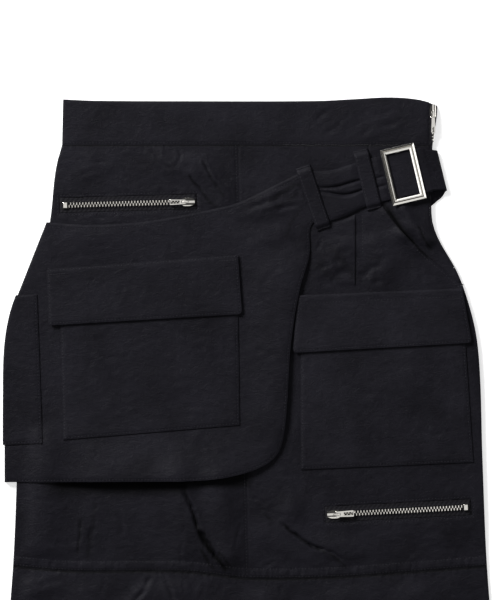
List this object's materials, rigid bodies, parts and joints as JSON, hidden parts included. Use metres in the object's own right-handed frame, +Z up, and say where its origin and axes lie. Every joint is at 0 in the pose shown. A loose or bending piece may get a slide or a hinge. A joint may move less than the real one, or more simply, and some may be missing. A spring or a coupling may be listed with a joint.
{
  "type": "cargo utility skirt",
  "caption": "Long cargo skirt laid flat, with a wrapped overlay panel, patch pockets with flaps, a buckled waist belt and metal zips.",
  "frame": {"origin": "on the surface that the skirt lies on, below the middle of its bounding box", "axes": "+X to the right in the picture, +Y towards the waist, +Z up from the surface, out of the skirt's front"},
  "size_m": [0.4798, 0.7499, 0.014],
  "materials": {
    "cloth": "crinkled nylon, matt with a faint sheen",
    "tape": "woven zip tape, matt",
    "metal": "polished nickel"
  },
  "bodies": {
    "skirt": {"waistband_front": "cloth", "waistband_back": "cloth", "hip_front_left": "cloth", "hip_front_right": "cloth", "hip_pocket_bearer": "cloth", "hip_back": "cloth", "tier_front": "cloth", "tier_back": "cloth", "overlay": "cloth", "overlay_pocket": "cloth", "overlay_flap": "cloth", "overlay_side_pocket": "cloth", "cargo_pocket": "cloth", "cargo_flap": "cloth", "belt_front": "cloth", "belt_tail": "cloth", "belt_loop_inner": "cloth", "belt_loop_outer": "cloth", "buckle_frame": "metal", "upper_zip_tape": "tape", "upper_zip_chain": "metal", "upper_zip_slider": "metal", "upper_zip_stop": "metal", "lower_zip_tape": "tape", "lower_zip_chain": "metal", "lower_zip_slider": "metal", "lower_zip_stop": "metal", "side_zip_tape": "tape", "side_zip_chain": "metal", "side_zip_slider": "metal"},
    "upper_pull": {"upper_zip_pull": "metal"},
    "lower_pull": {"lower_zip_pull": "metal"},
    "side_pull": {"side_zip_pull": "metal"}
  },
  "joints": [
    {"name": "upper_pull_hinge", "type": "hinge", "parent": "skirt", "child": "upper_pull", "pos_m": [-0.0577, 0.2809, 0.0072], "axis": [-0.0279, 0.9996, 0], "range_deg": [0, 150]},
    {"name": "lower_pull_hinge", "type": "hinge", "parent": "skirt", "child": "lower_pull", "pos_m": [0.0774, 0.0003, 0.00708], "axis": [0.0523, -0.9986, 0], "range_deg": [0, 150]},
    {"name": "side_pull_hinge", "type": "hinge", "parent": "skirt", "child": "side_pull", "pos_m": [0.1646, 0.36063, 0.00614], "axis": [-1, 0, 0], "range_deg": [0, 150]}
  ]
}
